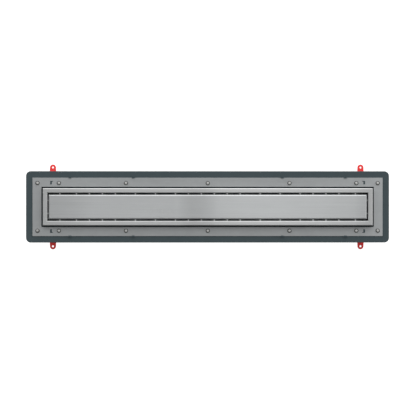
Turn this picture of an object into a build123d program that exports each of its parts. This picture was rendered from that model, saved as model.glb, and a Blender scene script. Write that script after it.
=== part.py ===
from build123d import *
from itertools import accumulate
import os

# Linear shower drain, in millimetres. X runs along the channel, Y across it and Z up.
# The origin lies under the middle of the channel, on the plane of the foot soles.

# Driving dimensions: raised frame and its slotted ledge
frame_length = 700.0
frame_width = 79.2
frame_height = 25.0
frame_face = 10.1
frame_sheet = 1.5
frame_round = 1.6
ledge_drop = 7.5
ledge_margin = 0.5
web_width = 2.4
web_close = 27.5
web_wide = 42.5
web_last = 35.0

# Driving dimensions: cover tray and its stiffener
cover_gap = 3.4
cover_end_gap = 2.1
cover_drop = 0.5
cover_sheet = 1.5
cover_round = 2.6
slot_clear = 0.2
stiffener_inset = 37.0
stiffener_width = 20.0
stiffener_flange = 7.0
stiffener_lift = 0.5
stiffener_sheet = 1.0

# Driving dimensions: clamping flange and its gasket
frame_gap = 3.1
flange_side = 19.3
flange_end = 18.9
flange_sheet = 1.5
gasket_thick = 2.0
gasket_clear = 0.3
gasket_setback = 1.0
recess_inset = 3.0

# Driving dimensions: channel body, one plastic moulding
border = 13.9
body_corner = 10.0
rim_thick = 6.0
rim_round = 0.8
wall = 3.0
lip_depth = 6.0
rib_count = 9
rib_depth = 7.0
trough_depth = 28.5
seat_depth = 12.0
seat_margin = 1.5
floor_fall = 7.0
flat_half = 60.0

# Driving dimensions: screws and the bosses that take them
screw_edge_inset = 11.4
screw_end_inset = 10.5
screw_pitch = 173.7
screw_from_foot = 17.0
screw_head_r = 2.8
screw_head_high = 2.0
screw_head_round = 0.8
screw_shank_r = 1.45
screw_length = 13.0
screw_hole_clear = 0.35
cross_long = 2.6
cross_wide = 0.6
cross_deep = 0.8
washer_r = 4.4
washer_thick = 0.8
pilot_clear = 0.05
pilot_spare = 1.0
boss_wall = 2.5
boss_floor = 2.0

# Driving dimensions: snap hooks and locating keys that hold the flange in place
hook_inner_x = 158.3
hook_from_foot = 40.4
hook_width = 6.0
hook_root = 2.2
hook_bite = 1.1
hook_thick = 1.5
hook_clear = 0.3
key_from_foot = 0.2
key_edge_inset = 7.2
key_long = 6.8
key_thick = 3.0
key_toe_long = 5.5
key_toe_thick = 0.8
key_clear = 0.3
key_sink = 0.4

# Driving dimensions: trap insert, hair sieve and sealing ring
throat_r = 20.0
throat_gap = 2.0
collar_depth = 12.0
insert_wall = 2.0
insert_lap = 3.5
insert_flange_thick = 2.0
insert_rim_high = 1.5
insert_rim_wall = 1.5
dip_gap = 8.0
ring_groove_depth = 0.4
ring_groove_width = 2.6
ring_drop = 9.0
ring_clear = 0.02
sieve_thick = 1.0
sieve_clear = 0.3
sieve_hole_r = 1.8
sieve_ring_step = 5.2
sieve_ring_count = 3
knob_r = 2.6
knob_high = 6.0
knob_round = 1.2

# Driving dimensions: trap gasket, lid, pot and outlet
trap_gasket_thick = 2.0
trap_gasket_margin = 7.0
trap_screw_gap = 2.0
trap_screw_length = 15.0
lid_clear = 0.3
lid_thick = 4.0
lid_skirt_depth = 2.5
lid_skirt_wall = 2.6
lid_skirt_clear = 0.2
pot_r = 55.0
pot_bottom = 10.0
pot_headroom = 0.5
weir_gap = 18.0
weir_headroom = 14.0
outlet_r = 25.0
outlet_wall = 2.0
outlet_stop = 3.0
outlet_stop_thick = 3.0
outlet_length = 60.0
outlet_chamfer = 1.0

# Driving dimensions: levelling feet
foot_end_inset = 52.9
foot_edge_inset = 19.9
pillar_length = 50.0
pillar_wall = 2.5
pillar_bore_clear = 0.5
pillar_roof = 2.0
nut_flats = 13.0
nut_high = 6.5
nut_clear = 0.05
thread_clear = 0.05
stud_r = 4.0
stud_reach = 36.0
stud_chamfer = 0.8
stud_slot_wide = 1.4
stud_slot_deep = 2.5
stud_end_lap = 2.0
stud_end_high = 5.0
socket_floor = 4.0
socket_clear = 0.3
hub_wall = 3.7
hub_neck = 4.7
hub_slit = 1.6
base_reach = 7.0
base_thick = 5.0
ear_overhang = 9.4
ear_thick = 3.0
ear_round = 0.8
ear_hole_r = 2.2
ear_rim = 4.3
ear_root_r = 7.2
ear_root_out = 13.0

# Plan sizes, from the opening of the frame out to the edge of the body
opening_length = frame_length - 2 * frame_face
opening_width = frame_width - 2 * frame_face
cover_length = opening_length - 2 * cover_end_gap
cover_width = opening_width - 2 * cover_gap
ledge_lap = cover_sheet + ledge_margin
window_length = frame_length + 2 * frame_gap
window_width = frame_width + 2 * frame_gap
trough_length = frame_length - 2 * (frame_sheet + seat_margin)
trough_width = frame_width - 2 * (frame_sheet + seat_margin)
flange_length = window_length + 2 * flange_end
flange_width = window_width + 2 * flange_side
recess_length = flange_length - 2 * recess_inset
recess_width = flange_width - 2 * recess_inset
body_length = flange_length + 2 * border
body_width = flange_width + 2 * border
foot_x = body_length / 2 - foot_end_inset
foot_y = body_width / 2 - foot_edge_inset

# Levels, stacked from the trap pot up to the frame
outlet_z = pot_bottom + wall + outlet_r
lid_under = outlet_z + outlet_r + outlet_stop + pot_headroom
lid_top = lid_under + lid_thick
floor_under = lid_top + trap_gasket_thick
floor_top = floor_under + wall
insert_seat = floor_top + insert_flange_thick
insert_bottom = pot_bottom + wall + dip_gap
rim_top = floor_top + trough_depth
rim_under = rim_top - rim_thick
recess_floor = rim_top - gasket_thick
flange_top = rim_top + flange_sheet
seat_z = rim_top - seat_depth
frame_top = seat_z + frame_height
ledge_top = frame_top - ledge_drop
cover_height = ledge_drop - cover_drop
cover_under = ledge_top + cover_height - cover_sheet
stiffener_depth = cover_height - cover_sheet - stiffener_lift
screw_seat = flange_top + washer_thick
pilot_bottom = screw_seat - screw_length - pilot_spare
lid_pilot_bottom = floor_top - trap_screw_length - pilot_spare
pillar_bottom = rim_under - pillar_length
stud_top = pillar_bottom + stud_reach
hub_high = socket_floor + stud_end_high + socket_clear + hub_neck

# Radii that fit one another
insert_r = throat_r - throat_gap
insert_flange_r = throat_r + insert_lap
collar_r = throat_r + wall
ring_inner_r = insert_r - ring_groove_depth
trap_screw_circle_r = insert_flange_r + screw_head_r + trap_screw_gap
trap_gasket_r = trap_screw_circle_r + trap_gasket_margin
pot_inner_r = pot_r - wall
skirt_r = pot_inner_r - lid_skirt_clear
weir_x = insert_r + weir_gap
outlet_bore_r = outlet_r - outlet_wall
outlet_end = pot_r + outlet_length
screw_hole_r = screw_shank_r + screw_hole_clear
pilot_r = screw_shank_r + pilot_clear
boss_r = pilot_r + boss_wall
thread_bore_r = stud_r + thread_clear
pillar_bore_r = stud_r + pillar_bore_clear
pillar_r = nut_flats / 3**0.5 + pillar_wall
stud_end_r = stud_r + stud_end_lap
hub_r = stud_end_r + socket_clear + hub_wall
base_r = hub_r + base_reach
ear_tip_r = ear_hole_r + ear_rim
ear_hole_out = foot_edge_inset + ear_overhang

# Places that repeat: screws, hooks, webs of the ledge and foot corners
screw_half_x = (screw_pitch, foot_x - screw_from_foot, flange_length / 2 - screw_end_inset)
screw_x = [0.0] + [side * x for x in screw_half_x for side in (-1, 1)]
screw_y = flange_width / 2 - screw_edge_inset
screw_places = [(x, y) for x in screw_x for y in (-screw_y, screw_y)]
trap_screw_offset = trap_screw_circle_r / 2**0.5
trap_screw_sides = (-trap_screw_offset, trap_screw_offset)
trap_screw_places = [(x, y) for x in trap_screw_sides for y in trap_screw_sides]
hook_x = [side * x for x in (hook_inner_x, foot_x - hook_from_foot) for side in (-1, 1)]
web_steps = [web_close / 2, web_close, web_close, web_wide, web_wide, web_wide]
web_steps += [web_close, web_close, web_close, web_last]
web_half_x = [x for x in accumulate(web_steps) if x + web_width < cover_length / 2]
web_x = [side * x for x in web_half_x for side in (-1, 1)]
web_end_y = web_close / 2
foot_corners = {
    "left_back": (-1, 1),
    "left_front": (-1, -1),
    "right_back": (1, 1),
    "right_front": (1, -1),
}

os.makedirs("parts", exist_ok=True)


def trough_outline(half_length, middle_z):
    """Corner points of the trough seen from its side: the floor falls from both ends to a flat middle."""
    end_z = middle_z + floor_fall
    right = [(flat_half, middle_z), (half_length, end_z), (half_length, seat_z)]
    return [(-x, z) for x, z in reversed(right)] + right


def corner_keys(clearance, mode):
    """Four L-shaped key outlines beside the feet, grown by a clearance, drawn into the open sketch."""
    far_y = flange_width / 2 - key_edge_inset
    leg_x = foot_x - key_from_foot
    leg_y = far_y - key_long / 2
    toe_x = leg_x + key_thick / 2 - key_toe_long / 2
    toe_y = far_y - key_toe_thick / 2
    for side_x, side_y in foot_corners.values():
        with Locations((side_x * leg_x, side_y * leg_y)):
            Rectangle(key_thick + 2 * clearance, key_long + 2 * clearance, mode=mode)
        with Locations((side_x * toe_x, side_y * toe_y)):
            Rectangle(key_toe_long + 2 * clearance, key_toe_thick + 2 * clearance, mode=mode)


# Channel body: rounded rim with a downturned lip, a trough below it and a pillar for each foot
with BuildPart() as channel_body:
    with BuildSketch(Plane.XY.offset(rim_under)):
        RectangleRounded(body_length, body_width, body_corner)
    extrude(amount=rim_thick)
    fillet(channel_body.faces().sort_by(Axis.Z)[-1].edges(), rim_round)
    with BuildSketch(Plane.XY.offset(rim_under)):
        RectangleRounded(body_length, body_width, body_corner)
        RectangleRounded(
            body_length - 2 * wall, body_width - 2 * wall, body_corner - wall, mode=Mode.SUBTRACT
        )
    extrude(amount=-lip_depth)
    with BuildSketch(Plane.XY.offset(rim_under)):
        with GridLocations(2 * foot_x / (rib_count - 1), 0, rib_count, 1):
            Rectangle(wall, body_width - wall)
    extrude(amount=-rib_depth)

    # Trough walls: a wide upper part down to the seat of the frame, a narrower lower part with the falls
    with BuildSketch(Plane.XY.offset(rim_under)):
        Rectangle(window_length + 2 * wall, window_width + 2 * wall)
    extrude(amount=seat_z - wall - rim_under)
    with BuildSketch(Plane.XZ):
        with BuildLine():
            Polyline(*trough_outline(trough_length / 2 + wall, floor_under), close=True)
        make_face()
    extrude(amount=trough_width / 2 + wall, both=True)
    with BuildSketch(Plane.XY.offset(floor_under)):
        Circle(collar_r)
    extrude(amount=-collar_depth)

    # Screw bosses and foot pillars hang from the rim
    with BuildSketch(Plane.XY.offset(rim_under)):
        with Locations(*screw_places):
            Circle(boss_r)
    extrude(amount=pilot_bottom - boss_floor - rim_under)
    with BuildSketch(Plane.XY.offset(rim_under)):
        with GridLocations(2 * foot_x, 2 * foot_y, 2, 2):
            Circle(pillar_r)
    extrude(amount=pillar_bottom - rim_under)

    # Gasket recess, window, inside of the trough and the throat in its floor
    with BuildSketch(Plane.XY.offset(rim_top)):
        Rectangle(recess_length, recess_width)
    extrude(amount=-gasket_thick, mode=Mode.SUBTRACT)
    with BuildSketch(Plane.XY.offset(rim_top)):
        Rectangle(window_length, window_width)
    extrude(amount=-seat_depth, mode=Mode.SUBTRACT)
    with BuildSketch(Plane.XZ):
        with BuildLine():
            Polyline(*trough_outline(trough_length / 2, floor_top), close=True)
        make_face()
    extrude(amount=trough_width / 2, both=True, mode=Mode.SUBTRACT)
    with BuildSketch(Plane.XY.offset(floor_top)):
        Circle(throat_r)
    extrude(amount=-wall - collar_depth, mode=Mode.SUBTRACT)

    # Holes for the flange screws, the trap screws and the foot studs with their captive nuts
    with BuildSketch(Plane.XY.offset(recess_floor)):
        with Locations(*screw_places):
            Circle(pilot_r)
    extrude(amount=pilot_bottom - recess_floor, mode=Mode.SUBTRACT)
    with BuildSketch(Plane.XY.offset(floor_top)):
        with Locations(*trap_screw_places):
            Circle(screw_hole_r)
    extrude(amount=-wall, mode=Mode.SUBTRACT)
    with BuildSketch(Plane.XY.offset(pillar_bottom)):
        with GridLocations(2 * foot_x, 2 * foot_y, 2, 2):
            Circle(pillar_bore_r)
    extrude(amount=rim_under - pillar_roof - pillar_bottom, mode=Mode.SUBTRACT)
    with BuildSketch(Plane.XY.offset(pillar_bottom)):
        with GridLocations(2 * foot_x, 2 * foot_y, 2, 2):
            RegularPolygon(nut_flats / 2 + nut_clear, 6, major_radius=False)
    extrude(amount=nut_high, mode=Mode.SUBTRACT)

    # L-shaped keys that stand in the slots of the flange, and hooks that snap over its long edges
    with BuildSketch(Plane.XY.offset(recess_floor)):
        corner_keys(0, Mode.ADD)
    extrude(amount=flange_top - key_sink - recess_floor)
    for side_y in (-1, 1):
        with BuildSketch(Plane.XY.offset(rim_top)):
            with Locations(*[(x, side_y * (flange_width / 2 + hook_clear + hook_root / 2)) for x in hook_x]):
                Rectangle(hook_width, hook_root)
        extrude(amount=flange_sheet + hook_thick)
        lip_long = hook_bite + hook_clear + hook_root
        with BuildSketch(Plane.XY.offset(flange_top)):
            with Locations(*[(x, side_y * (flange_width / 2 - hook_bite + lip_long / 2)) for x in hook_x]):
                Rectangle(hook_width, lip_long)
        extrude(amount=hook_thick)

channel_body.part.label = "channel_body"
export_step(channel_body.part, "parts/channel_body.step")

# Flange gasket: rubber sheet in the recess, round the window, the screws and the keys
with BuildPart() as flange_gasket:
    with BuildSketch(Plane.XY.offset(recess_floor)):
        Rectangle(recess_length - 2 * gasket_clear, recess_width - 2 * gasket_clear)
        Rectangle(
            window_length + 2 * gasket_setback, window_width + 2 * gasket_setback, mode=Mode.SUBTRACT
        )
        with Locations(*screw_places):
            Circle(screw_hole_r, mode=Mode.SUBTRACT)
        corner_keys(key_clear, Mode.SUBTRACT)
    extrude(amount=gasket_thick)

flange_gasket.part.label = "flange_gasket"
export_step(flange_gasket.part, "parts/flange_gasket.step")

# Clamping flange: flat steel sheet on the gasket and the border
with BuildPart() as clamp_flange:
    with BuildSketch(Plane.XY.offset(rim_top)):
        Rectangle(flange_length, flange_width)
        Rectangle(window_length, window_width, mode=Mode.SUBTRACT)
        with Locations(*screw_places):
            Circle(screw_hole_r, mode=Mode.SUBTRACT)
        corner_keys(key_clear, Mode.SUBTRACT)
    extrude(amount=flange_sheet)

clamp_flange.part.label = "clamp_flange"
export_step(clamp_flange.part, "parts/clamp_flange.step")

# Raised frame, folded from one sheet: outer leg, flat face, inner leg and a slotted ledge for the cover
with BuildPart() as grate_frame:
    with BuildSketch(Plane.XY.offset(seat_z)):
        Rectangle(frame_length, frame_width)
        Rectangle(opening_length, opening_width, mode=Mode.SUBTRACT)
    extrude(amount=frame_height)
    fillet(grate_frame.faces().sort_by(Axis.Z)[-1].edges(), frame_round)
    with BuildSketch(Plane.XY.offset(seat_z)):
        Rectangle(frame_length - 2 * frame_sheet, frame_width - 2 * frame_sheet)
        Rectangle(opening_length + 2 * frame_sheet, opening_width + 2 * frame_sheet, mode=Mode.SUBTRACT)
    extrude(amount=frame_height - frame_sheet, mode=Mode.SUBTRACT)
    with BuildSketch(Plane.XY.offset(seat_z)):
        Rectangle(opening_length + 2 * frame_sheet, opening_width + 2 * frame_sheet)
    extrude(amount=frame_height - ledge_drop - frame_sheet, mode=Mode.SUBTRACT)
    with BuildSketch(Plane.XY.offset(ledge_top)):
        Rectangle(opening_length + frame_sheet, opening_width + frame_sheet)
        Rectangle(opening_length, opening_width, mode=Mode.SUBTRACT)
        Rectangle(cover_length + 2 * slot_clear, cover_width + 2 * slot_clear)
        Rectangle(
            cover_length - 2 * ledge_lap, cover_width - 2 * ledge_lap, mode=Mode.SUBTRACT
        )
        for side in (-1, 1):
            with Locations(*[(x, side * (opening_width - cover_gap) / 2) for x in web_x]):
                Rectangle(web_width, cover_gap)
            end_x = side * (opening_length - cover_end_gap) / 2
            with Locations((end_x, -web_end_y), (end_x, web_end_y)):
                Rectangle(cover_end_gap, web_width)
    extrude(amount=-frame_sheet)

grate_frame.part.label = "grate_frame"
export_step(grate_frame.part, "parts/grate_frame.step")

# Cover: shallow tray folded from brushed sheet, standing on the ledge by its edges
with BuildPart() as cover_plate:
    with BuildSketch(Plane.XY.offset(ledge_top)):
        Rectangle(cover_length, cover_width)
    extrude(amount=cover_height)
    fillet(cover_plate.edges().group_by(Axis.Z)[-1], cover_round)
    offset(amount=-cover_sheet, openings=cover_plate.faces().sort_by(Axis.Z)[0])

cover_plate.part.label = "cover_plate"
export_step(cover_plate.part, "parts/cover_plate.step")

# Cover stiffener: hat-shaped strip welded along the underside of the cover
with BuildPart() as cover_stiffener:
    with BuildSketch(Plane.YZ):
        with Locations((0, cover_under)):
            Rectangle(
                stiffener_width + 2 * stiffener_flange,
                stiffener_sheet,
                align=(Align.CENTER, Align.MAX),
            )
            Rectangle(stiffener_width, stiffener_depth, align=(Align.CENTER, Align.MAX))
            Rectangle(
                stiffener_width - 2 * stiffener_sheet,
                stiffener_depth - stiffener_sheet,
                align=(Align.CENTER, Align.MAX),
                mode=Mode.SUBTRACT,
            )
    extrude(amount=cover_length / 2 - stiffener_inset, both=True)

cover_stiffener.part.label = "cover_stiffener"
export_step(cover_stiffener.part, "parts/cover_stiffener.step")

# Trap insert: flange with a raised rim on the trough floor, dip tube with a groove for its sealing ring
with BuildPart() as trap_insert:
    with BuildSketch(Plane.XY.offset(floor_top)):
        Circle(insert_flange_r)
    extrude(amount=insert_flange_thick + insert_rim_high)
    with BuildSketch(Plane.XY.offset(insert_seat)):
        Circle(insert_flange_r - insert_rim_wall)
    extrude(amount=insert_rim_high, mode=Mode.SUBTRACT)
    with BuildSketch(Plane.XY.offset(floor_top)):
        Circle(insert_r)
    extrude(amount=insert_bottom - floor_top)
    with BuildSketch(Plane.XY.offset(floor_top - ring_drop - ring_groove_width / 2)):
        Circle(insert_r)
        Circle(ring_inner_r, mode=Mode.SUBTRACT)
    extrude(amount=ring_groove_width, mode=Mode.SUBTRACT)
    with BuildSketch(Plane.XY.offset(insert_bottom)):
        Circle(insert_r - insert_wall)
    extrude(amount=insert_seat - insert_bottom, mode=Mode.SUBTRACT)

trap_insert.part.label = "trap_insert"
export_step(trap_insert.part, "parts/trap_insert.step")

# Sealing ring between the dip tube and the collar of the body
with BuildPart() as insert_o_ring:
    with BuildSketch(Plane.XZ):
        with Locations(((ring_inner_r + throat_r) / 2, floor_top - ring_drop)):
            Circle((throat_r - ring_inner_r) / 2 - ring_clear)
    revolve(axis=Axis.Z)

insert_o_ring.part.label = "insert_o_ring"
export_step(insert_o_ring.part, "parts/insert_o_ring.step")

# Hair sieve: perforated disc in the rim of the insert, with a knob to lift it by
with BuildPart() as hair_sieve:
    with BuildSketch(Plane.XY.offset(insert_seat)):
        Circle(insert_flange_r - insert_rim_wall - sieve_clear)
        for ring in range(1, sieve_ring_count + 1):
            with PolarLocations(ring * sieve_ring_step, 6 * ring):
                Circle(sieve_hole_r, mode=Mode.SUBTRACT)
    extrude(amount=sieve_thick)
    with BuildSketch(Plane.XY.offset(insert_seat)):
        Circle(knob_r)
    extrude(amount=knob_high)
    fillet(hair_sieve.faces().sort_by(Axis.Z)[-1].edges(), knob_round)

hair_sieve.part.label = "hair_sieve"
export_step(hair_sieve.part, "parts/hair_sieve.step")

# Trap gasket: flat ring between the trough floor and the lid of the trap
with BuildPart() as trap_gasket:
    with BuildSketch(Plane.XY.offset(lid_top)):
        Circle(trap_gasket_r)
        Circle(collar_r + lid_clear, mode=Mode.SUBTRACT)
        with Locations(*trap_screw_places):
            Circle(screw_hole_r, mode=Mode.SUBTRACT)
    extrude(amount=trap_gasket_thick)

trap_gasket.part.label = "trap_gasket"
export_step(trap_gasket.part, "parts/trap_gasket.step")

# Trap lid: disc round the collar, with a centring skirt for the pot and blind bosses for the screws
with BuildPart() as trap_lid:
    with BuildSketch(Plane.XY.offset(lid_under)):
        Circle(pot_r)
    extrude(amount=lid_thick)
    with BuildSketch(Plane.XY.offset(lid_under)):
        Circle(skirt_r)
        Circle(skirt_r - lid_skirt_wall, mode=Mode.SUBTRACT)
    extrude(amount=-lid_skirt_depth)
    with BuildSketch(Plane.XY.offset(lid_under)):
        with Locations(*trap_screw_places):
            Circle(boss_r)
    extrude(amount=lid_pilot_bottom - boss_floor - lid_under)
    with BuildSketch(Plane.XY.offset(lid_top)):
        Circle(collar_r + lid_clear)
    extrude(amount=lid_pilot_bottom - boss_floor - lid_top, mode=Mode.SUBTRACT)
    with BuildSketch(Plane.XY.offset(lid_top)):
        with Locations(*trap_screw_places):
            Circle(pilot_r)
    extrude(amount=lid_pilot_bottom - lid_top, mode=Mode.SUBTRACT)

trap_lid.part.label = "trap_lid"
export_step(trap_lid.part, "parts/trap_lid.step")

# Sealing washers under the heads of the flange screws
with BuildPart() as flange_washers:
    with BuildSketch(Plane.XY.offset(flange_top)):
        with Locations(*screw_places):
            Circle(washer_r)
            Circle(screw_hole_r, mode=Mode.SUBTRACT)
    extrude(amount=washer_thick)

flange_washers.part.label = "flange_washers"
export_step(flange_washers.part, "parts/flange_washers.step")

# Screws with pan heads and a cross recess: the flange screws stand on their washers and go into the bosses
# of the rim, the trap screws stand on the trough floor and go through the gasket into the bosses of the lid
screw_sets = {
    "flange_screws": (screw_seat, screw_length, screw_places),
    "trap_screws": (floor_top, trap_screw_length, trap_screw_places),
}
for name, (head_seat, length, places) in screw_sets.items():
    with BuildPart() as screws:
        with BuildSketch(Plane.XY.offset(head_seat)):
            with Locations(*places):
                Circle(screw_head_r)
        extrude(amount=screw_head_high)
        fillet(screws.edges().group_by(Axis.Z)[-1], screw_head_round)
        with BuildSketch(Plane.XY.offset(head_seat + screw_head_high)):
            with Locations(*places):
                Rectangle(cross_long, cross_wide)
                Rectangle(cross_wide, cross_long)
        extrude(amount=-cross_deep, mode=Mode.SUBTRACT)
        with BuildSketch(Plane.XY.offset(head_seat)):
            with Locations(*places):
                Circle(screw_shank_r)
        extrude(amount=-length)

    screws.part.label = name
    export_step(screws.part, f"parts/{name}.step")

# Trap pot: round cup with an outlet spigot, a collar where the pipe stops and a weir that holds the water seal
with BuildPart() as trap_pot:
    with BuildSketch(Plane.XY.offset(pot_bottom)):
        Circle(pot_r)
    extrude(amount=lid_under - pot_bottom)
    with BuildSketch(Plane.YZ.offset(weir_x + wall)):
        with Locations((0, outlet_z)):
            Circle(outlet_r)
    extrude(amount=outlet_end - weir_x - wall)
    chamfer(trap_pot.faces().sort_by(Axis.X)[-1].edges(), outlet_chamfer)
    with BuildSketch(Plane.YZ.offset(weir_x + wall)):
        with Locations((0, outlet_z)):
            Circle(outlet_r + outlet_stop)
    extrude(amount=pot_r + outlet_stop_thick - weir_x - wall)
    with BuildSketch(Plane.XY.offset(pot_bottom + wall)):
        Circle(pot_inner_r)
    extrude(amount=lid_under - pot_bottom - wall, mode=Mode.SUBTRACT)
    with BuildSketch(Plane.YZ.offset(weir_x + wall)):
        with Locations((0, outlet_z)):
            Circle(outlet_bore_r)
    extrude(amount=outlet_end - weir_x - wall, mode=Mode.SUBTRACT)
    with BuildSketch(Plane.XY.offset(pot_bottom)):
        with Locations((weir_x + wall / 2, 0)):
            Rectangle(wall, 2 * pot_r)
        Circle(pot_inner_r + wall / 2, mode=Mode.INTERSECT)
    extrude(amount=lid_under - weir_headroom - pot_bottom)

trap_pot.part.label = "trap_pot"
export_step(trap_pot.part, "parts/trap_pot.step")

# Captive nuts in the foot pillars
with BuildPart() as foot_nuts:
    with BuildSketch(Plane.XY.offset(pillar_bottom)):
        with GridLocations(2 * foot_x, 2 * foot_y, 2, 2):
            RegularPolygon(nut_flats / 2, 6, major_radius=False)
            Circle(thread_bore_r, mode=Mode.SUBTRACT)
    extrude(amount=nut_high)

foot_nuts.part.label = "foot_nuts"
export_step(foot_nuts.part, "parts/foot_nuts.step")

# Levelling feet: a threaded stud whose disc end turns in the snap socket of a base with a fixing ear
for corner, (side_x, side_y) in foot_corners.items():
    axis_place = (side_x * foot_x, side_y * foot_y)

    with BuildPart() as foot_stud:
        with BuildSketch(Plane.XY.offset(socket_floor)):
            with Locations(axis_place):
                Circle(stud_r)
        extrude(amount=stud_top - socket_floor)
        chamfer(foot_stud.faces().sort_by(Axis.Z)[-1].edges(), stud_chamfer)
        with BuildSketch(Plane.XY.offset(socket_floor)):
            with Locations(axis_place):
                Circle(stud_end_r)
        extrude(amount=stud_end_high)
        with BuildSketch(Plane.XY.offset(stud_top)):
            with Locations(axis_place):
                Rectangle(2 * stud_r, stud_slot_wide)
        extrude(amount=-stud_slot_deep, mode=Mode.SUBTRACT)

    foot_stud.part.label = f"foot_stud_{corner}"
    export_step(foot_stud.part, f"parts/foot_stud_{corner}.step")

    ear_root = (axis_place[0], axis_place[1] + side_y * ear_root_out)
    ear_tip = (axis_place[0], axis_place[1] + side_y * ear_hole_out)
    with BuildPart() as foot_base:
        with BuildSketch():
            with Locations(ear_root):
                Circle(ear_root_r)
            with Locations(ear_tip):
                Circle(ear_tip_r)
            make_hull()
        extrude(amount=ear_thick)
        fillet(foot_base.faces().sort_by(Axis.Z)[-1].edges(), ear_round)
        with BuildSketch():
            with Locations(axis_place):
                Circle(base_r)
        extrude(amount=base_thick)
        with BuildSketch():
            with Locations(axis_place):
                Circle(hub_r)
        extrude(amount=hub_high)
        with BuildSketch(Plane.XY.offset(socket_floor)):
            with Locations(axis_place):
                Circle(stud_end_r + socket_clear)
        extrude(amount=stud_end_high + socket_clear, mode=Mode.SUBTRACT)
        with BuildSketch(Plane.XY.offset(hub_high)):
            with Locations(axis_place):
                Circle(stud_r + socket_clear)
        extrude(amount=socket_floor - hub_high, mode=Mode.SUBTRACT)
        with BuildSketch(Plane.XY.offset(hub_high)):
            with Locations(axis_place):
                Rectangle(2 * hub_r, hub_slit)
                Rectangle(hub_slit, 2 * hub_r)
        extrude(amount=base_thick - hub_high, mode=Mode.SUBTRACT)
        with BuildSketch():
            with Locations(ear_tip):
                Circle(ear_hole_r)
        extrude(amount=ear_thick, mode=Mode.SUBTRACT)

    foot_base.part.label = f"foot_base_{corner}"
    export_step(foot_base.part, f"parts/foot_base_{corner}.step")
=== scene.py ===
# %% [markdown]
# # Dressing a linear shower drain
# The solids of the drain are already made and packed: a slate-grey channel body, a clamping
# flange, a raised frame, a brushed cover, a trap and four red levelling feet. This lesson loads
# them as a fixed frame, gives each surface a finish made of nodes, models the threads that the
# solids leave out, and lights the drain from above.

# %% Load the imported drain
import math

import bmesh
import bpy
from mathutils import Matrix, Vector


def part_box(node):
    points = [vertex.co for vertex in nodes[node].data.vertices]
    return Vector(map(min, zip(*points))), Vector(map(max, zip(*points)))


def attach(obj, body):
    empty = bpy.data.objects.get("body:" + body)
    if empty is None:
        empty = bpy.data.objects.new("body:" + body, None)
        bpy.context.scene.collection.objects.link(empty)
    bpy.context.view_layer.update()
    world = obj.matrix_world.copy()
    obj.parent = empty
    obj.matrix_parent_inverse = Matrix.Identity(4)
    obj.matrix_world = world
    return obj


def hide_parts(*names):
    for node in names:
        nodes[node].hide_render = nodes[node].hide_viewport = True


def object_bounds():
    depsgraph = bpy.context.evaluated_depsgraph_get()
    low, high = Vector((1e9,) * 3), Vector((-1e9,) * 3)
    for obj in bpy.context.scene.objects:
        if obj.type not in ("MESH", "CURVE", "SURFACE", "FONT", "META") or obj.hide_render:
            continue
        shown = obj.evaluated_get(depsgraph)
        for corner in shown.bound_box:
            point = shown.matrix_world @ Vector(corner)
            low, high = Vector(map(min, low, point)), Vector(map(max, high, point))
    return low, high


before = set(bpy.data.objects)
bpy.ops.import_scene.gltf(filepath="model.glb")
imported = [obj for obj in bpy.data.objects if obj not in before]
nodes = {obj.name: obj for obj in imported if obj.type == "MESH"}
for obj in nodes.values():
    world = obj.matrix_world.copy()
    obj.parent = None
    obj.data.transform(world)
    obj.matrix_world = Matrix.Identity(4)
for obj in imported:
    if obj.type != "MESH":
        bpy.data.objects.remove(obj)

size_at_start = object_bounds()
MM = 0.001
print("nodes loaded:", len(nodes))
print("box:", [[round(c, 4) for c in corner] for corner in size_at_start])

# %% [markdown]
# ## Writing shader maths as Python
# A finish is a small program made of nodes. Adding each Math node by hand hides the formula, so a
# wire, which is one output socket, is wrapped in a class whose operators add the nodes. Then
# `1 - mask * 0.5` reads as it should.

# %% Wires with operators
class Wire:
    """One output socket, whose operators add Math nodes to the same tree."""

    def __init__(self, recipe, socket):
        self.recipe = recipe
        self.socket = socket

    def maths(self, operation, first, second=0.0):
        return self.recipe.node("ShaderNodeMath", {"operation": operation}, {0: first, 1: second})

    def __add__(self, other):
        return self.maths("ADD", self, other)

    def __radd__(self, other):
        return self.maths("ADD", other, self)

    def __sub__(self, other):
        return self.maths("SUBTRACT", self, other)

    def __rsub__(self, other):
        return self.maths("SUBTRACT", other, self)

    def __mul__(self, other):
        return self.maths("MULTIPLY", self, other)

    def __truediv__(self, other):
        return self.maths("DIVIDE", self, other)

    def __gt__(self, other):
        return self.maths("GREATER_THAN", self, other)

    def __abs__(self):
        return self.maths("ABSOLUTE", self)

    def most(self, other):
        return self.maths("MAXIMUM", self, other)

    def least(self, other):
        return self.maths("MINIMUM", self, other)

    def clamped(self):
        return self.most(0.0).least(1.0)


print("wire operators ready")

# %% [markdown]
# ## One method for every other node
# Noise, mixes and bumps aren't maths, so they get one method: it takes the type of node, the
# settings that have to be set first and the sockets to fill. A recipe is a tree that is filled
# this way. Noise is measured in metres, because the solids are, so each pattern says how many
# times it repeats in a metre along X, Y and Z.

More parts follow.
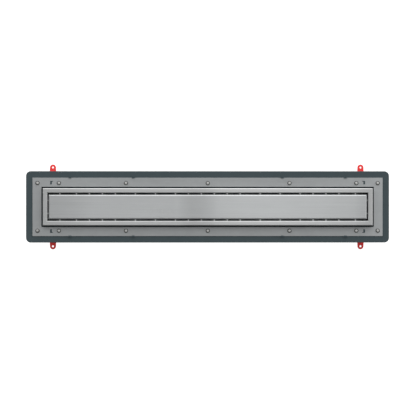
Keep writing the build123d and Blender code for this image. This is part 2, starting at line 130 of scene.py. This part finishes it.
# %% Recipes of nodes
class Recipe:
    """A node tree that is filled by one method, and a few mixes that the finishes share."""

    def __init__(self, tree):
        self.tree = tree

    def node(self, kind, settings=None, sockets=None, output=0):
        made = self.tree.nodes.new(kind)
        for name, value in (settings or {}).items():
            setattr(made, name, value)
        for name, value in (sockets or {}).items():
            self.feed(made.inputs[name], value)
        return Wire(self, made.outputs[output])

    def feed(self, socket, value):
        if isinstance(value, Wire):
            self.tree.links.new(value.socket, socket)
        else:
            socket.default_value = value

    def place(self):
        return self.node("ShaderNodeTexCoord", output="Object")

    def parts(self, vector):
        sockets = {0: vector}
        return [self.node("ShaderNodeSeparateXYZ", sockets=sockets, output=axis) for axis in "XYZ"]

    def joined(self, x, y, z):
        return self.node("ShaderNodeCombineXYZ", sockets={0: x, 1: y, 2: z})

    def noise(self, vector, per_metre, detail=2.0, roughness=0.5):
        settings = {"operation": "MULTIPLY"}
        scaled = self.node("ShaderNodeVectorMath", settings, {0: vector, 1: per_metre})
        sockets = {"Vector": scaled, "Scale": 1.0, "Detail": detail, "Roughness": roughness}
        return self.node("ShaderNodeTexNoise", sockets=sockets)

    def blend(self, factor, first, second):
        settings = {"data_type": "RGBA", "clamp_factor": True}
        return self.node("ShaderNodeMix", settings, {0: factor, 6: first, 7: second}, output=2)

    def shaded(self, colour, amount):
        """A colour made lighter or darker by a wire around 1."""
        grey = self.node("ShaderNodeCombineColor", sockets={0: amount, 1: amount, 2: amount})
        settings = {"data_type": "RGBA", "blend_type": "MULTIPLY"}
        return self.node("ShaderNodeMix", settings, {0: 1.0, 6: colour, 7: grey}, output=2)

    def relief(self, height, depth):
        sockets = {"Height": height, "Distance": depth, "Strength": 1.0}
        return self.node("ShaderNodeBump", sockets=sockets)


print("recipes ready")

# %% [markdown]
# ## A finish is a recipe that ends in a shader
# Each material has one Principled shader. What stays the same all over a piece, such as being a
# metal, is set on the shader itself. What varies from place to place is fed by wires: colour,
# roughness and a bump.

# %% Finishes, and putting them on
class Finish(Recipe):
    """A material with a Principled shader, whose constants are given by socket name."""

    def __init__(self, name, **constants):
        self.material = bpy.data.materials.new(name)
        self.material.use_nodes = True
        super().__init__(self.material.node_tree)
        self.shader = next(n for n in self.tree.nodes if n.type == "BSDF_PRINCIPLED")
        for socket, value in constants.items():
            self.shader.inputs[socket.replace("_", " ")].default_value = value

    def paint(self, colour, roughness, normal):
        self.feed(self.shader.inputs["Base Color"], colour)
        self.feed(self.shader.inputs["Roughness"], roughness)
        self.feed(self.shader.inputs["Normal"], normal)
        return self.material


def dress(material, *names):
    """Puts a finish on every material slot of the named CAD nodes."""
    for name in names:
        for slot in nodes[name].material_slots:
            slot.material = material
    print(material.name, "on", ", ".join(names))


# %% [markdown]
# ## Slate plastic
# The body is a moulding in dark slate-grey plastic. Its skin has a fine even grain from the etched
# mould, faint streaks along the way the plastic flowed, and a paler rub along its outer edge. The
# rub could be painted on, but the body's box already says where the edge is, so the distance to
# that edge makes the mask.

# %% Slate plastic for the channel body
SLATE = (0.062, 0.083, 0.091, 1.0)
SLATE_RUBBED = (0.072, 0.093, 0.101, 1.0)
RUB_WIDTH = 2.5 * MM
RUB_HIGH = 9.0 * MM
SLATE_RELIEF = 0.05 * MM


def slate_plastic():
    finish = Finish("slate plastic", Metallic=0.0, Specular_IOR_Level=0.06)
    low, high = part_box("channel_body")
    place = finish.place()
    x, y, z = finish.parts(place)
    grain = finish.noise(place, (900, 900, 900), detail=3.0, roughness=0.6)
    mottle = finish.noise(place, (60, 60, 60), detail=4.0)
    flow = finish.noise(place, (5, 160, 160), detail=3.0)
    edge = (abs(x) - (high[0] - RUB_WIDTH)).most(abs(y) - (high[1] - RUB_WIDTH))
    rub = (edge / RUB_WIDTH + (mottle - 0.5) * 1.2).clamped() * (z > high[2] - RUB_HIGH)
    tone = 0.82 + grain * 0.16 + mottle * 0.12 + flow * 0.1
    colour = finish.shaded(finish.blend(rub * 0.5, SLATE, SLATE_RUBBED), tone)
    roughness = 0.48 + grain * 0.12 + mottle * 0.08 - rub * 0.06
    return finish.paint(colour, roughness, finish.relief(grain + mottle * 0.4, SLATE_RELIEF))


dress(slate_plastic(), "channel_body")

# %% [markdown]
# ## Stainless steel in three finishes
# The flange is dull rolled sheet, the frame is satin and the cover is brushed along its length.
# All three are one metal, so one function makes them. Brushing is noise that is stretched far
# along the grain and squeezed across it: a coarse one for streaks that show from a distance and a
# fine one for the scratches that catch the light. On the short sides of the frame the grain turns
# with the metal.
#
# The bends of the frame and the cover are folded, and a painted highlight along them makes a bright
# line.
# In the photograph broad soft bands, paler or darker, run across the sheets. They may be uneven
# brushing or reflections of the studio, which can't be told from one picture. They are reflections
# of the studio, painted into the finish as a few bands of painted reflection, chosen by measuring,
# so they stay in place from other angles too.

# %% Masks for the painted edge highlight and the painted reflection bands
FOLD = 2.4 * MM
# How much the painted edge highlight brightens the folded edges.
EDGE_HIGHLIGHT = 0.3


def folded_edges(x, y, z, high):
    """A mask along the folded top edges of a sheet piece whose box ends at that corner, which
    carries a painted highlight.
    """
    inside = (high[0] - abs(x)).least(high[1] - abs(y))
    return (1 - inside / FOLD).clamped() * (z > high[2] - FOLD)


def painted_reflection_bands(x, bands):
    """The sum of painted reflection bands across the length, each with its middle, half width and
    change.
    """
    total = 0.0
    for middle, half_width, change in bands:
        spread = (x - middle) / half_width
        total = (1 - spread * spread).clamped() * change + total
    return total


print("fold width:", FOLD, "m")

# %% Steel sheet with a grain
def brushed_steel(name, tone, gloss, streak, relief, bands, frame_corner=None, fold_corner=None):
    """Steel with its grain along X, or along Y on the short sides of a frame."""
    finish = Finish(name, Metallic=1.0)
    place = finish.place()
    x, y, z = finish.parts(place)
    along, across = x, y
    if frame_corner:
        on_end = (abs(x) - frame_corner[0]) > (abs(y) - frame_corner[1])
        along = x + (y - x) * on_end
        across = y + (x - y) * on_end
    grain = finish.joined(along, across, z)
    coarse = finish.noise(grain, (5, 330, 60), detail=4.0, roughness=0.65)
    fine = finish.noise(grain, (22, 2600, 300), detail=3.0, roughness=0.7)
    cloud = finish.noise(place, (7, 9, 9), detail=2.0)
    stain = finish.noise(place, (55, 70, 70), detail=5.0, roughness=0.6)
    amount = 1.0 + (coarse - 0.5) * streak + (fine - 0.5) * streak * 0.6 + (cloud - 0.5) * 0.12
    # Painted reflection: broad lighter and darker bands along the length.
    amount = amount + painted_reflection_bands(x, bands)
    # Painted highlight along the folded top edges.
    if fold_corner:
        amount = amount + folded_edges(x, y, z, fold_corner) * EDGE_HIGHLIGHT
    colour = finish.shaded(tone, amount - (stain - 0.5) * 0.05)
    roughness = gloss + (fine - 0.5) * 0.16 + (coarse - 0.5) * 0.1 + (stain - 0.5) * 0.08
    return finish.paint(colour, roughness, finish.relief(coarse + fine * 0.6, relief))


# A painted reflection band near the right end of the flange.
FLANGE_REFLECTION_BANDS = ((0.37, 0.04, 0.11),)
FLANGE_TONE = (0.416, 0.43, 0.435, 1.0)
flange_steel = brushed_steel("rolled flange steel", FLANGE_TONE, 0.68, 0.1, 0.01 * MM, FLANGE_REFLECTION_BANDS)
dress(flange_steel, "clamp_flange")

# %% [markdown]
# ## Frame and cover
# The painted reflection bands cross the frame and the cover at the same places, so both share one
# list. The cover is brushed harder than the frame, which shows as stronger streaks.

# %% Frame and cover steel
# Painted reflection bands on frame and cover: middle, half width and change.
SHEET_REFLECTION_BANDS = (
    (-0.345, 0.1, -0.14),
    (-0.0225, 0.042, -0.12),
    (0.137, 0.17, 0.13),
    (0.355, 0.045, -0.14),
)
FRAME_TONE = (0.555, 0.565, 0.565, 1.0)
COVER_TONE = (0.55, 0.565, 0.57, 1.0)
frame_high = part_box("grate_frame")[1]
cover_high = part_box("cover_plate")[1]
frame_steel = brushed_steel(
    "satin frame steel", FRAME_TONE, 0.36, 0.12, 0.01 * MM, SHEET_REFLECTION_BANDS, frame_high, frame_high
)
cover_steel = brushed_steel(
    "brushed cover steel", COVER_TONE, 0.33, 0.2, 0.012 * MM, SHEET_REFLECTION_BANDS, fold_corner=cover_high
)
dress(frame_steel, "grate_frame")
dress(cover_steel, "cover_plate", "cover_stiffener")

# %% [markdown]
# ## Small steel: screws, sieve, nuts
# The screws are stamped and tumbled, so they have no direction: a fine speckle and a darker bloom
# do for them. The nuts and studs are zinc plated, which is paler and a little blue.

# %% Speckled steel
SPECKLE_RELIEF = 0.012 * MM


def speckled_steel(name, tone, gloss):
    finish = Finish(name, Metallic=1.0)
    place = finish.place()
    speckle = finish.noise(place, (1500, 1500, 1500), detail=3.0)
    bloom = finish.noise(place, (160, 160, 160), detail=4.0)
    colour = finish.shaded(tone, 0.86 + speckle * 0.16 + bloom * 0.12)
    roughness = gloss + (speckle - 0.5) * 0.12 + (bloom - 0.5) * 0.16
    return finish.paint(colour, roughness, finish.relief(speckle, SPECKLE_RELIEF))


screw_steel = speckled_steel("tumbled screw steel", (0.54, 0.54, 0.53, 1.0), 0.36)
zinc = speckled_steel("zinc plate", (0.58, 0.6, 0.62, 1.0), 0.3)
dress(screw_steel, "flange_screws", "trap_screws", "hair_sieve")
dress(zinc, "foot_nuts")

# %% [markdown]
# ## Red foot plastic, grey trap plastic and rubber
# The feet are bright red so that they are found again before the screed is poured. The trap is
# plain grey polypropylene. All of these are mouldings: a faint orange-peel skin, uneven gloss and
# a little drift from one colour to a paler one. Rubber is the same with less gloss.

# %% Moulded plastic and rubber
def moulded_plastic(name, tone, pale, gloss, peel_per_metre, relief):
    finish = Finish(name, Metallic=0.0, Specular_IOR_Level=0.45)
    place = finish.place()
    peel = finish.noise(place, (peel_per_metre, peel_per_metre, peel_per_metre), detail=3.0)
    drift = finish.noise(place, (35, 35, 35), detail=4.0, roughness=0.6)
    colour = finish.shaded(finish.blend(drift * 0.6, tone, pale), 0.9 + peel * 0.2)
    roughness = gloss + (drift - 0.5) * 0.16 + (peel - 0.5) * 0.1
    return finish.paint(colour, roughness, finish.relief(peel, relief))


RED, PALE_RED = (0.93, 0.035, 0.035, 1.0), (0.97, 0.075, 0.065, 1.0)
GREY, PALE_GREY = (0.16, 0.17, 0.175, 1.0), (0.22, 0.23, 0.235, 1.0)
corners = ("left_back", "left_front", "right_back", "right_front")
foot_red = moulded_plastic("red foot plastic", RED, PALE_RED, 0.36, 900, 0.03 * MM)
trap_grey = moulded_plastic("grey trap plastic", GREY, PALE_GREY, 0.42, 500, 0.04 * MM)
dress(foot_red, *[f"foot_base_{corner}" for corner in corners])
dress(trap_grey, "trap_pot", "trap_lid", "trap_insert")

# %% Two rubbers
BLACK, PALE_BLACK = (0.012, 0.012, 0.012, 1.0), (0.03, 0.03, 0.03, 1.0)
DARK, PALE_DARK = (0.055, 0.06, 0.058, 1.0), (0.08, 0.085, 0.082, 1.0)
seal_rubber = moulded_plastic("black sealing rubber", BLACK, PALE_BLACK, 0.72, 1400, 0.05 * MM)
washer_rubber = moulded_plastic("grey washer rubber", DARK, PALE_DARK, 0.66, 1400, 0.04 * MM)
dress(seal_rubber, "flange_gasket", "trap_gasket", "insert_o_ring")
dress(washer_rubber, "flange_washers")

# %% [markdown]
# ## Threaded studs
# The solids have plain shanks. A real thread could be drawn as a spiral texture, but it shows in
# outline under the body, so it is modelled: one tooth's profile is spun round the shank while it
# climbs one pitch per turn. Each turn then meets the last one, the doubles are merged, and a plane
# cuts both ends flat. The collar that turns in the foot base is a plain cylinder with round edges.

# %% Spin a thread
PITCH = 1.25 * MM
STEPS_PER_TURN = 20
SPARE_TURNS = 2
THREAD_DEPTH = 0.7 * MM
TOOTH_TOP = (0.42, 0.58)
THREAD_SUNK = 0.5 * MM
TINY = 0.01 * MM


def flat_cut(mesh, height, upwards):
    """Cuts a mesh at a height, drops what lies past the cut and closes the hole."""
    everything = mesh.verts[:] + mesh.edges[:] + mesh.faces[:]
    normal = (0, 0, 1 if upwards else -1)
    cut = bmesh.ops.bisect_plane(
        mesh,
        geom=everything,
        dist=1e-7,
        plane_co=(0, 0, height),
        plane_no=normal,
        clear_outer=True,
    )
    rim = [e for e in cut["geom_cut"] if isinstance(e, bmesh.types.BMEdge)]
    bmesh.ops.holes_fill(mesh, edges=rim, sides=0)


def spin_thread(mesh, middle, crest_r, bottom, top):
    """A thread round a vertical line, from one height to another, closed at both ends."""
    root_r = crest_r - THREAD_DEPTH
    turns = math.ceil((top - bottom) / PITCH) + SPARE_TURNS
    start = bottom - SPARE_TURNS * PITCH
    profile = ((root_r, 0.0), (crest_r, TOOTH_TOP[0]), (crest_r, TOOTH_TOP[1]), (root_r, 1.0))
    points = [
        mesh.verts.new((middle[0] + r, middle[1], start + share * PITCH)) for r, share in profile
    ]
    tooth = [mesh.edges.new(pair) for pair in zip(points, points[1:])]
    bmesh.ops.spin(
        mesh,
        geom=points + tooth,
        cent=(middle[0], middle[1], 0),
        axis=(0, 0, 1),
        dvec=(0, 0, PITCH / STEPS_PER_TURN),
        angle=2 * math.pi * turns,
        steps=STEPS_PER_TURN * turns,
    )
    bmesh.ops.remove_doubles(mesh, verts=mesh.verts, dist=TINY)
    flat_cut(mesh, bottom - THREAD_SUNK, upwards=False)
    flat_cut(mesh, top, upwards=True)
    bmesh.ops.recalc_face_normals(mesh, faces=mesh.faces)


# %% Add the collar and hang each stud on its body
COLLAR_HIGH = 5.0 * MM
COLLAR_LAP = 2.0 * MM
COLLAR_ROUND = 0.5 * MM
COLLAR_STEPS = 48
SHARP = 1.0


def add_collar(mesh, middle, radius, bottom):
    """A cylinder with rounded rims, standing at a height."""
    made = bmesh.ops.create_cone(
        mesh,
        cap_ends=True,
        segments=COLLAR_STEPS,
        radius1=radius,
        radius2=radius,
        depth=COLLAR_HIGH,
    )
    collar = made["verts"]
    bmesh.ops.translate(mesh, verts=collar, vec=(middle[0], middle[1], bottom + COLLAR_HIGH / 2))
    edges = [e for e in mesh.edges if all(v in collar for v in e.verts)]
    rims = [e for e in edges if e.calc_face_angle(0) > SHARP]
    bmesh.ops.bevel(
        mesh,
        geom=rims,
        offset=COLLAR_ROUND,
        segments=3,
        profile=0.5,
        affect="EDGES",
        material=-1,
    )


def threaded_stud(corner):
    low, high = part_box(f"foot_stud_{corner}")
    middle = ((low[0] + high[0]) / 2, (low[1] + high[1]) / 2)
    collar_r = (high[0] - low[0]) / 2
    mesh = bmesh.new()
    spin_thread(mesh, middle, collar_r - COLLAR_LAP - TINY, low[2] + COLLAR_HIGH, high[2])
    add_collar(mesh, middle, collar_r, low[2])
    data = bpy.data.meshes.new(f"thread_{corner}")
    mesh.to_mesh(data)
    mesh.free()
    data.materials.append(zinc)
    piece = bpy.data.objects.new(f"threaded_stud_{corner}", data)
    bpy.context.scene.collection.objects.link(piece)
    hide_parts(f"foot_stud_{corner}")
    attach(piece, f"stud_{corner}")
    return piece


for corner in corners:
    stud = threaded_stud(corner)
    print(stud.name, "faces:", len(stud.data.polygons))

# %% [markdown]
# ## Pale floor
# The drain was photographed from straight above on white. A large pale floor takes its place. It
# glows a little, so that it stays white where the drain shades it, and bounced light doesn't see
# it: a real floor would throw its white back on the edges of the body, which are dark in the
# photograph.

# %% Pale floor
FLOOR_HALF = 6.0
FLOOR_CELLS = 8
FLOOR_GLOW = 1.0
FLOOR_GREY = (0.4, 0.4, 0.4, 1.0)


def pale_floor():
    mesh = bmesh.new()
    bmesh.ops.create_grid(mesh, x_segments=FLOOR_CELLS, y_segments=FLOOR_CELLS, size=FLOOR_HALF)
    data = bpy.data.meshes.new("floor")
    mesh.to_mesh(data)
    mesh.free()
    finish = Finish(
        "pale floor", Metallic=0.0, Specular_IOR_Level=0.1, Emission_Strength=FLOOR_GLOW
    )
    finish.shader.inputs["Emission Color"].default_value = (1, 1, 1, 1)
    dust = finish.noise(finish.place(), (3, 3, 3), detail=3.0)
    colour = finish.shaded(FLOOR_GREY, 0.99 + dust * 0.02)
    data.materials.append(finish.paint(colour, 0.9, finish.relief(dust, 0.01 * MM)))
    floor = bpy.data.objects.new("floor", data)
    floor.visible_diffuse = False
    floor.visible_glossy = False
    bpy.context.scene.collection.objects.link(floor)
    return floor


print("floor:", pale_floor().name)

# %% [markdown]
# ## Soft light all round
# Edges that face the top of the picture are bright, edges that face its right side less so, and
# those that face down or left are dark. So the light is a large white tent, brightest behind the
# drain. A tent could be built from lamps, but a sky whose brightness follows its direction is the
# same light without edges or hard shadows. Its brightness has a floor and a ceiling, so that no
# side of the drain turns black and the steel doesn't burn out from other angles.

# %% Light tent
TENT_ABOVE = 0.7
TENT_BACK = 2.4
TENT_RIGHT = 0.5
TENT_CURVE = 0.12
TENT_LEAST = 0.18
TENT_MOST = 1.75
TENT_BELOW = 0.75
TENT_SEEN = 0.95

scene = bpy.context.scene
scene.view_settings.view_transform = "Standard"
scene.world = bpy.data.worlds.new("light tent")
scene.world.use_nodes = True
tent = Recipe(scene.world.node_tree)
x, y, z = tent.parts(tent.node("ShaderNodeTexCoord", output="Generated"))
glow = TENT_ABOVE + y * TENT_BACK + x * TENT_RIGHT - x * x * TENT_CURVE
glow = glow.most(TENT_LEAST).least(TENT_MOST) * (1 + z.least(0.0) * TENT_BELOW)
seen = tent.node("ShaderNodeLightPath", output="Is Camera Ray")
glow = glow + (TENT_SEEN - glow) * seen
tent.feed(tent.tree.nodes["Background"].inputs["Color"], tent.joined(glow, glow, glow))
print("tent nodes:", len(tent.tree.nodes))

# %% [markdown]
# ## Camera
# The photograph's scale is known from the frame's length in pixels, so the lens follows from the
# distance. The red feet lie lower than the cover and appear a little to the left of where they
# would be from straight above: the camera stood slightly to the left.

# %% Camera above
PHOTO_SIDE = 416
MM_PER_PIXEL = 2.12
CENTRE_PIXEL = (207.87, 206.87)
CAMERA_ABOVE = 5.4
CAMERA_SIDE = -0.1
SENSOR_WIDTH = 36.0
FAR_CLIP = 50.0

view = bpy.data.cameras.new("camera")
view.sensor_width = SENSOR_WIDTH
view.lens = SENSOR_WIDTH * CAMERA_ABOVE / (PHOTO_SIDE * MM_PER_PIXEL * MM)
view.clip_end = FAR_CLIP
camera = bpy.data.objects.new("camera", view)
offset = [(PHOTO_SIDE / 2 - c) * MM_PER_PIXEL * MM for c in CENTRE_PIXEL]
aim = Vector((offset[0], -offset[1], size_at_start[1][2]))
camera.location = aim + Vector((CAMERA_SIDE, 0, CAMERA_ABOVE))
camera.rotation_euler = (0, math.atan2(CAMERA_SIDE, CAMERA_ABOVE), 0)
scene.collection.objects.link(camera)
scene.camera = camera
print("lens:", round(view.lens, 1), "mm")
